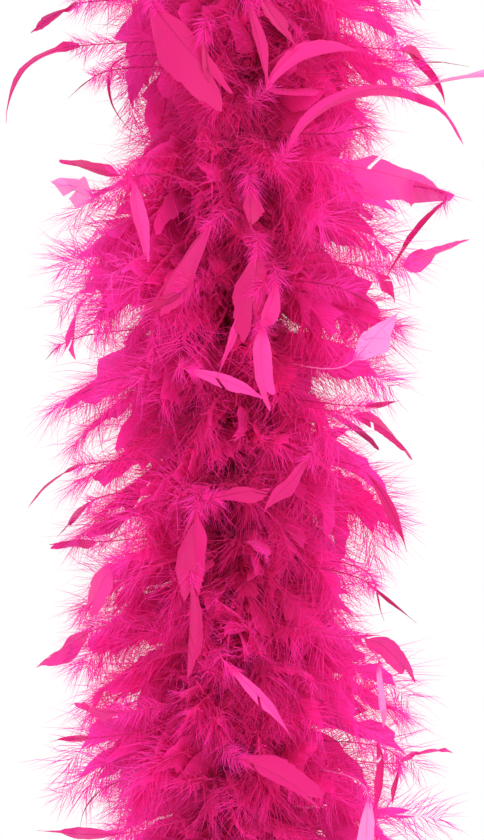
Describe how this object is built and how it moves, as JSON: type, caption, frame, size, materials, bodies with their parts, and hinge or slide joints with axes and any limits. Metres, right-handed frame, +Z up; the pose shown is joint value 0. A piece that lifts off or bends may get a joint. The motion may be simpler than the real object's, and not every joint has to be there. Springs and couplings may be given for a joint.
{
  "type": "feather boa",
  "caption": "Full chandelle feather boa of drooping flat feathers and down, tied round a twisted core cord that bends along its whole length.",
  "frame": {"origin": "middle of the top whipping, the bound cord end that the boa is held by", "axes": "+Z up along the cord, towards the cut top end; the boa hangs down -Z; +X and +Y are alike, and the hinge axes alternate between them"},
  "size_m": [0.2446, 0.2446, 1.8957],
  "materials": {
    "feather_vane": "satin",
    "feather_down": "matte",
    "core_cord": "matte",
    "binding_thread": "satin"
  },
  "bodies": {
    "top_end": {"top_whipping": "binding_thread", "core_cord_top": "core_cord"},
    "segment_01": {"core_cord_01": "core_cord", "binding_thread_01": "binding_thread", "down_tufts_01": "feather_down", "feathers_01": "feather_vane"},
    "segment_02": {"core_cord_02": "core_cord", "binding_thread_02": "binding_thread", "down_tufts_02": "feather_down", "feathers_02": "feather_vane"},
    "segment_03": {"core_cord_03": "core_cord", "binding_thread_03": "binding_thread", "down_tufts_03": "feather_down", "feathers_03": "feather_vane"},
    "segment_04": {"core_cord_04": "core_cord", "binding_thread_04": "binding_thread", "down_tufts_04": "feather_down", "feathers_04": "feather_vane"},
    "segment_05": {"core_cord_05": "core_cord", "binding_thread_05": "binding_thread", "down_tufts_05": "feather_down", "feathers_05": "feather_vane"},
    "segment_06": {"core_cord_06": "core_cord", "binding_thread_06": "binding_thread", "down_tufts_06": "feather_down", "feathers_06": "feather_vane"},
    "segment_07": {"core_cord_07": "core_cord", "binding_thread_07": "binding_thread", "down_tufts_07": "feather_down", "feathers_07": "feather_vane"},
    "segment_08": {"core_cord_08": "core_cord", "binding_thread_08": "binding_thread", "down_tufts_08": "feather_down", "feathers_08": "feather_vane"},
    "segment_09": {"core_cord_09": "core_cord", "binding_thread_09": "binding_thread", "down_tufts_09": "feather_down", "feathers_09": "feather_vane"},
    "segment_10": {"core_cord_10": "core_cord", "binding_thread_10": "binding_thread", "down_tufts_10": "feather_down", "feathers_10": "feather_vane"},
    "segment_11": {"core_cord_11": "core_cord", "binding_thread_11": "binding_thread", "down_tufts_11": "feather_down", "feathers_11": "feather_vane"},
    "segment_12": {"core_cord_12": "core_cord", "binding_thread_12": "binding_thread", "down_tufts_12": "feather_down", "feathers_12": "feather_vane", "bottom_whipping": "binding_thread"}
  },
  "joints": [
    {"name": "bend_01", "type": "hinge", "parent": "top_end", "child": "segment_01", "pos_m": [0, 0, -0.012], "axis": [1, 0, 0], "range_deg": [-60, 60], "deforming": ["feathers_01"]},
    {"name": "bend_02", "type": "hinge", "parent": "segment_01", "child": "segment_02", "pos_m": [0, 0, -0.162], "axis": [0, 1, 0], "range_deg": [-60, 60], "deforming": ["feathers_02"]},
    {"name": "bend_03", "type": "hinge", "parent": "segment_02", "child": "segment_03", "pos_m": [0, 0, -0.312], "axis": [-1, 0, 0], "range_deg": [-60, 60], "deforming": ["feathers_03"]},
    {"name": "bend_04", "type": "hinge", "parent": "segment_03", "child": "segment_04", "pos_m": [0, 0, -0.462], "axis": [0, -1, 0], "range_deg": [-60, 60], "deforming": ["feathers_04"]},
    {"name": "bend_05", "type": "hinge", "parent": "segment_04", "child": "segment_05", "pos_m": [0, 0, -0.612], "axis": [1, 0, 0], "range_deg": [-60, 60], "deforming": ["feathers_05"]},
    {"name": "bend_06", "type": "hinge", "parent": "segment_05", "child": "segment_06", "pos_m": [0, 0, -0.762], "axis": [0, 1, 0], "range_deg": [-60, 60], "deforming": ["feathers_06"]},
    {"name": "bend_07", "type": "hinge", "parent": "segment_06", "child": "segment_07", "pos_m": [0, 0, -0.912], "axis": [-1, 0, 0], "range_deg": [-60, 60], "deforming": ["feathers_07"]},
    {"name": "bend_08", "type": "hinge", "parent": "segment_07", "child": "segment_08", "pos_m": [0, 0, -1.062], "axis": [0, -1, 0], "range_deg": [-60, 60], "deforming": ["feathers_08"]},
    {"name": "bend_09", "type": "hinge", "parent": "segment_08", "child": "segment_09", "pos_m": [0, 0, -1.212], "axis": [1, 0, 0], "range_deg": [-60, 60], "deforming": ["feathers_09"]},
    {"name": "bend_10", "type": "hinge", "parent": "segment_09", "child": "segment_10", "pos_m": [0, 0, -1.362], "axis": [0, 1, 0], "range_deg": [-60, 60], "deforming": ["feathers_10"]},
    {"name": "bend_11", "type": "hinge", "parent": "segment_10", "child": "segment_11", "pos_m": [0, 0, -1.512], "axis": [-1, 0, 0], "range_deg": [-60, 60], "deforming": ["feathers_11"]},
    {"name": "bend_12", "type": "hinge", "parent": "segment_11", "child": "segment_12", "pos_m": [0, 0, -1.662], "axis": [0, -1, 0], "range_deg": [-60, 60], "deforming": ["feathers_12"]}
  ]
}
